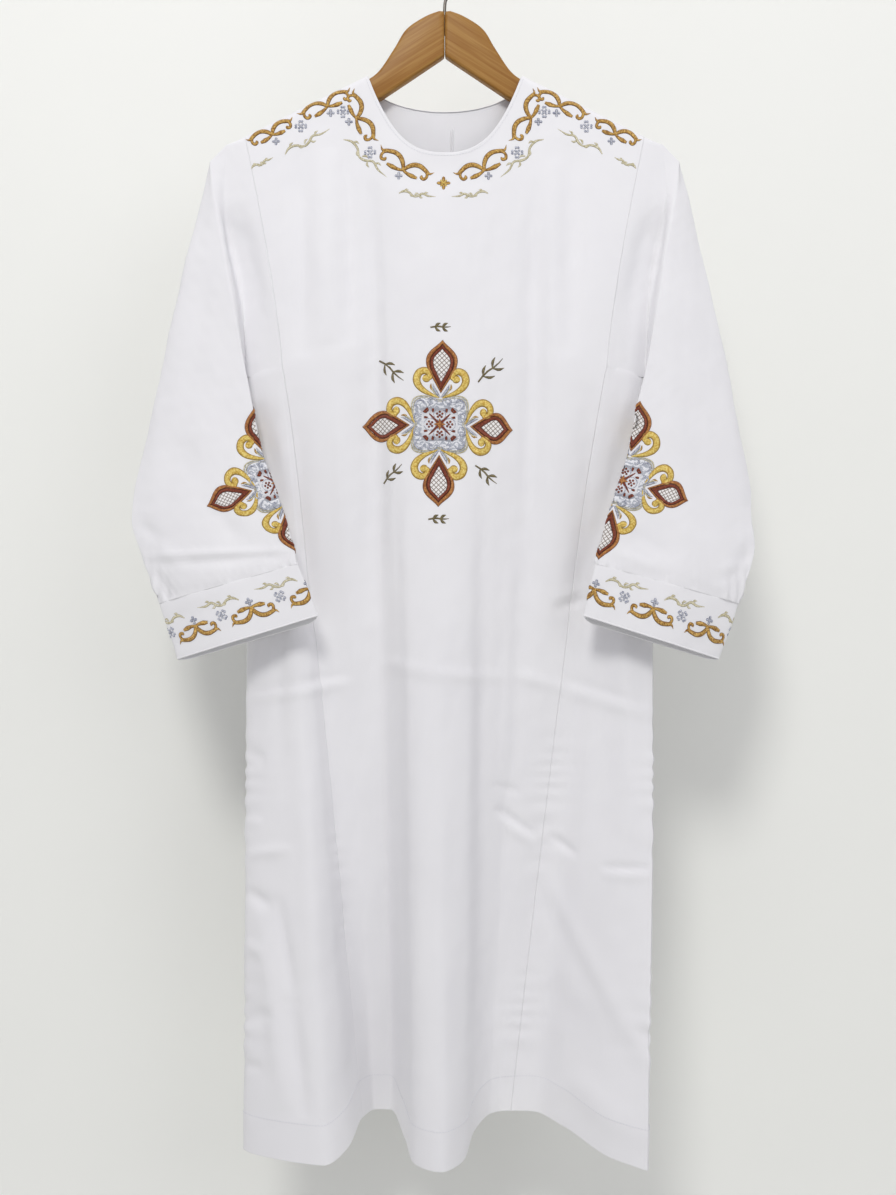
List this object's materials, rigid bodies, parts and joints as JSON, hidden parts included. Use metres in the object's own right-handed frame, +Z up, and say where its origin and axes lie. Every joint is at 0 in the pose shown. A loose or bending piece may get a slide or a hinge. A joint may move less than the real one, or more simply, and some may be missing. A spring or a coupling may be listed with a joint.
{
  "type": "deacon tunic on a hanger",
  "caption": "White three-quarter sleeve deacon tunic with embroidered crosses and scroll borders, hanging on a flat wooden hanger with a wire hook.",
  "frame": {"origin": "inner top of the hanger's hook, where a rail carries it", "axes": "+Z up, the front faces -Y, +X to the right of someone who looks at the front"},
  "size_m": [0.5803, 0.1537, 1.129],
  "materials": {
    "cloth": "plain woven white poly-cotton with embroidery in gold, yellow, copper and silver thread",
    "wood": "clear satin lacquer over a light honey wood",
    "wire": "dark bronzed wire"
  },
  "bodies": {
    "root": {"front_panel": "cloth", "front_side_left": "cloth", "front_side_right": "cloth", "back_panel": "cloth", "back_side_left": "cloth", "back_side_right": "cloth", "sleeve_left": "cloth", "sleeve_right": "cloth", "cuff_left": "cloth", "cuff_right": "cloth", "hanger_arm_left": "wood", "hanger_arm_right": "wood", "hanger_hook": "wire"}
  },
  "joints": []
}
